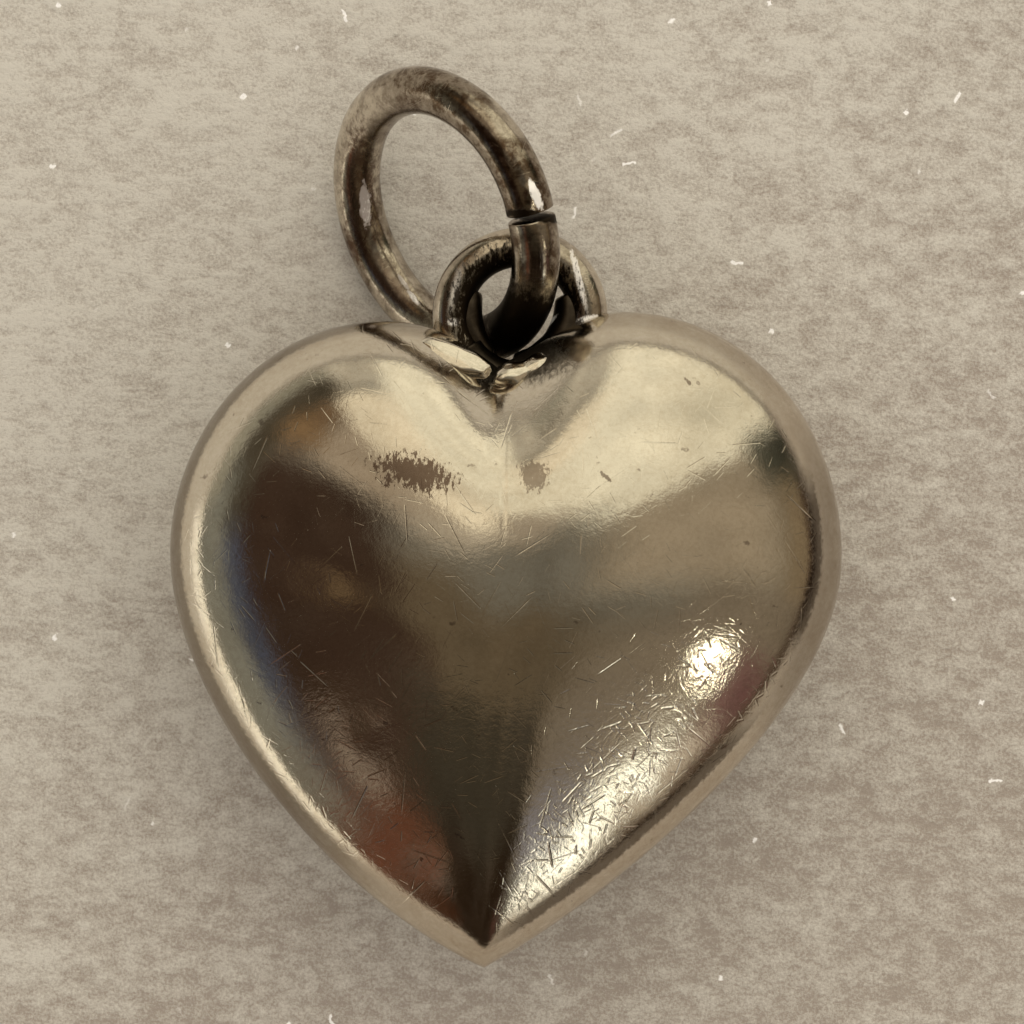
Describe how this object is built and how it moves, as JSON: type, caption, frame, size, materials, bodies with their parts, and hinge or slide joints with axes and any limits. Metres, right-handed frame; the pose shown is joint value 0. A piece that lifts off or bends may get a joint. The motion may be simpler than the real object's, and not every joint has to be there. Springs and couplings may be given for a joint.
{
  "type": "puffy heart pendant",
  "caption": "Hollow domed heart pendant of two soldered shells, with a wire eye standing in the cleft and a loose jump ring that swings in the eye.",
  "frame": {"origin": "centre of the eye's hole, on the plane where the two shells meet", "axes": "+X to the heart's right, +Y from the tip through the cleft towards the jump ring, +Z out of the front shell; the pendant lies on its back"},
  "size_m": [0.016, 0.0215, 0.0078],
  "materials": {
    "shell_silver": "polished silver, worn, with fine scratches and small tarnish marks",
    "seam_silver": "silver solder polished flush with both rims",
    "eye_silver": "polished silver wire, tarnished towards its feet",
    "dark_solder": "solder, tarnished almost black",
    "ring_silver": "drawn silver wire, worn, with grey-brown tarnish"
  },
  "bodies": {
    "heart": {"front_shell": "shell_silver", "back_shell": "shell_silver", "seam_solder": "seam_silver", "hanging_eye": "eye_silver", "eye_solder": "dark_solder"},
    "loose_ring": {"jump_ring": "ring_silver"}
  },
  "joints": [
    {"name": "ring_swing", "type": "hinge", "parent": "heart", "child": "loose_ring", "pos_m": [0, 0, 0], "axis": [0.5129, -0.6199, -0.5939], "range_deg": [0, 95]}
  ]
}
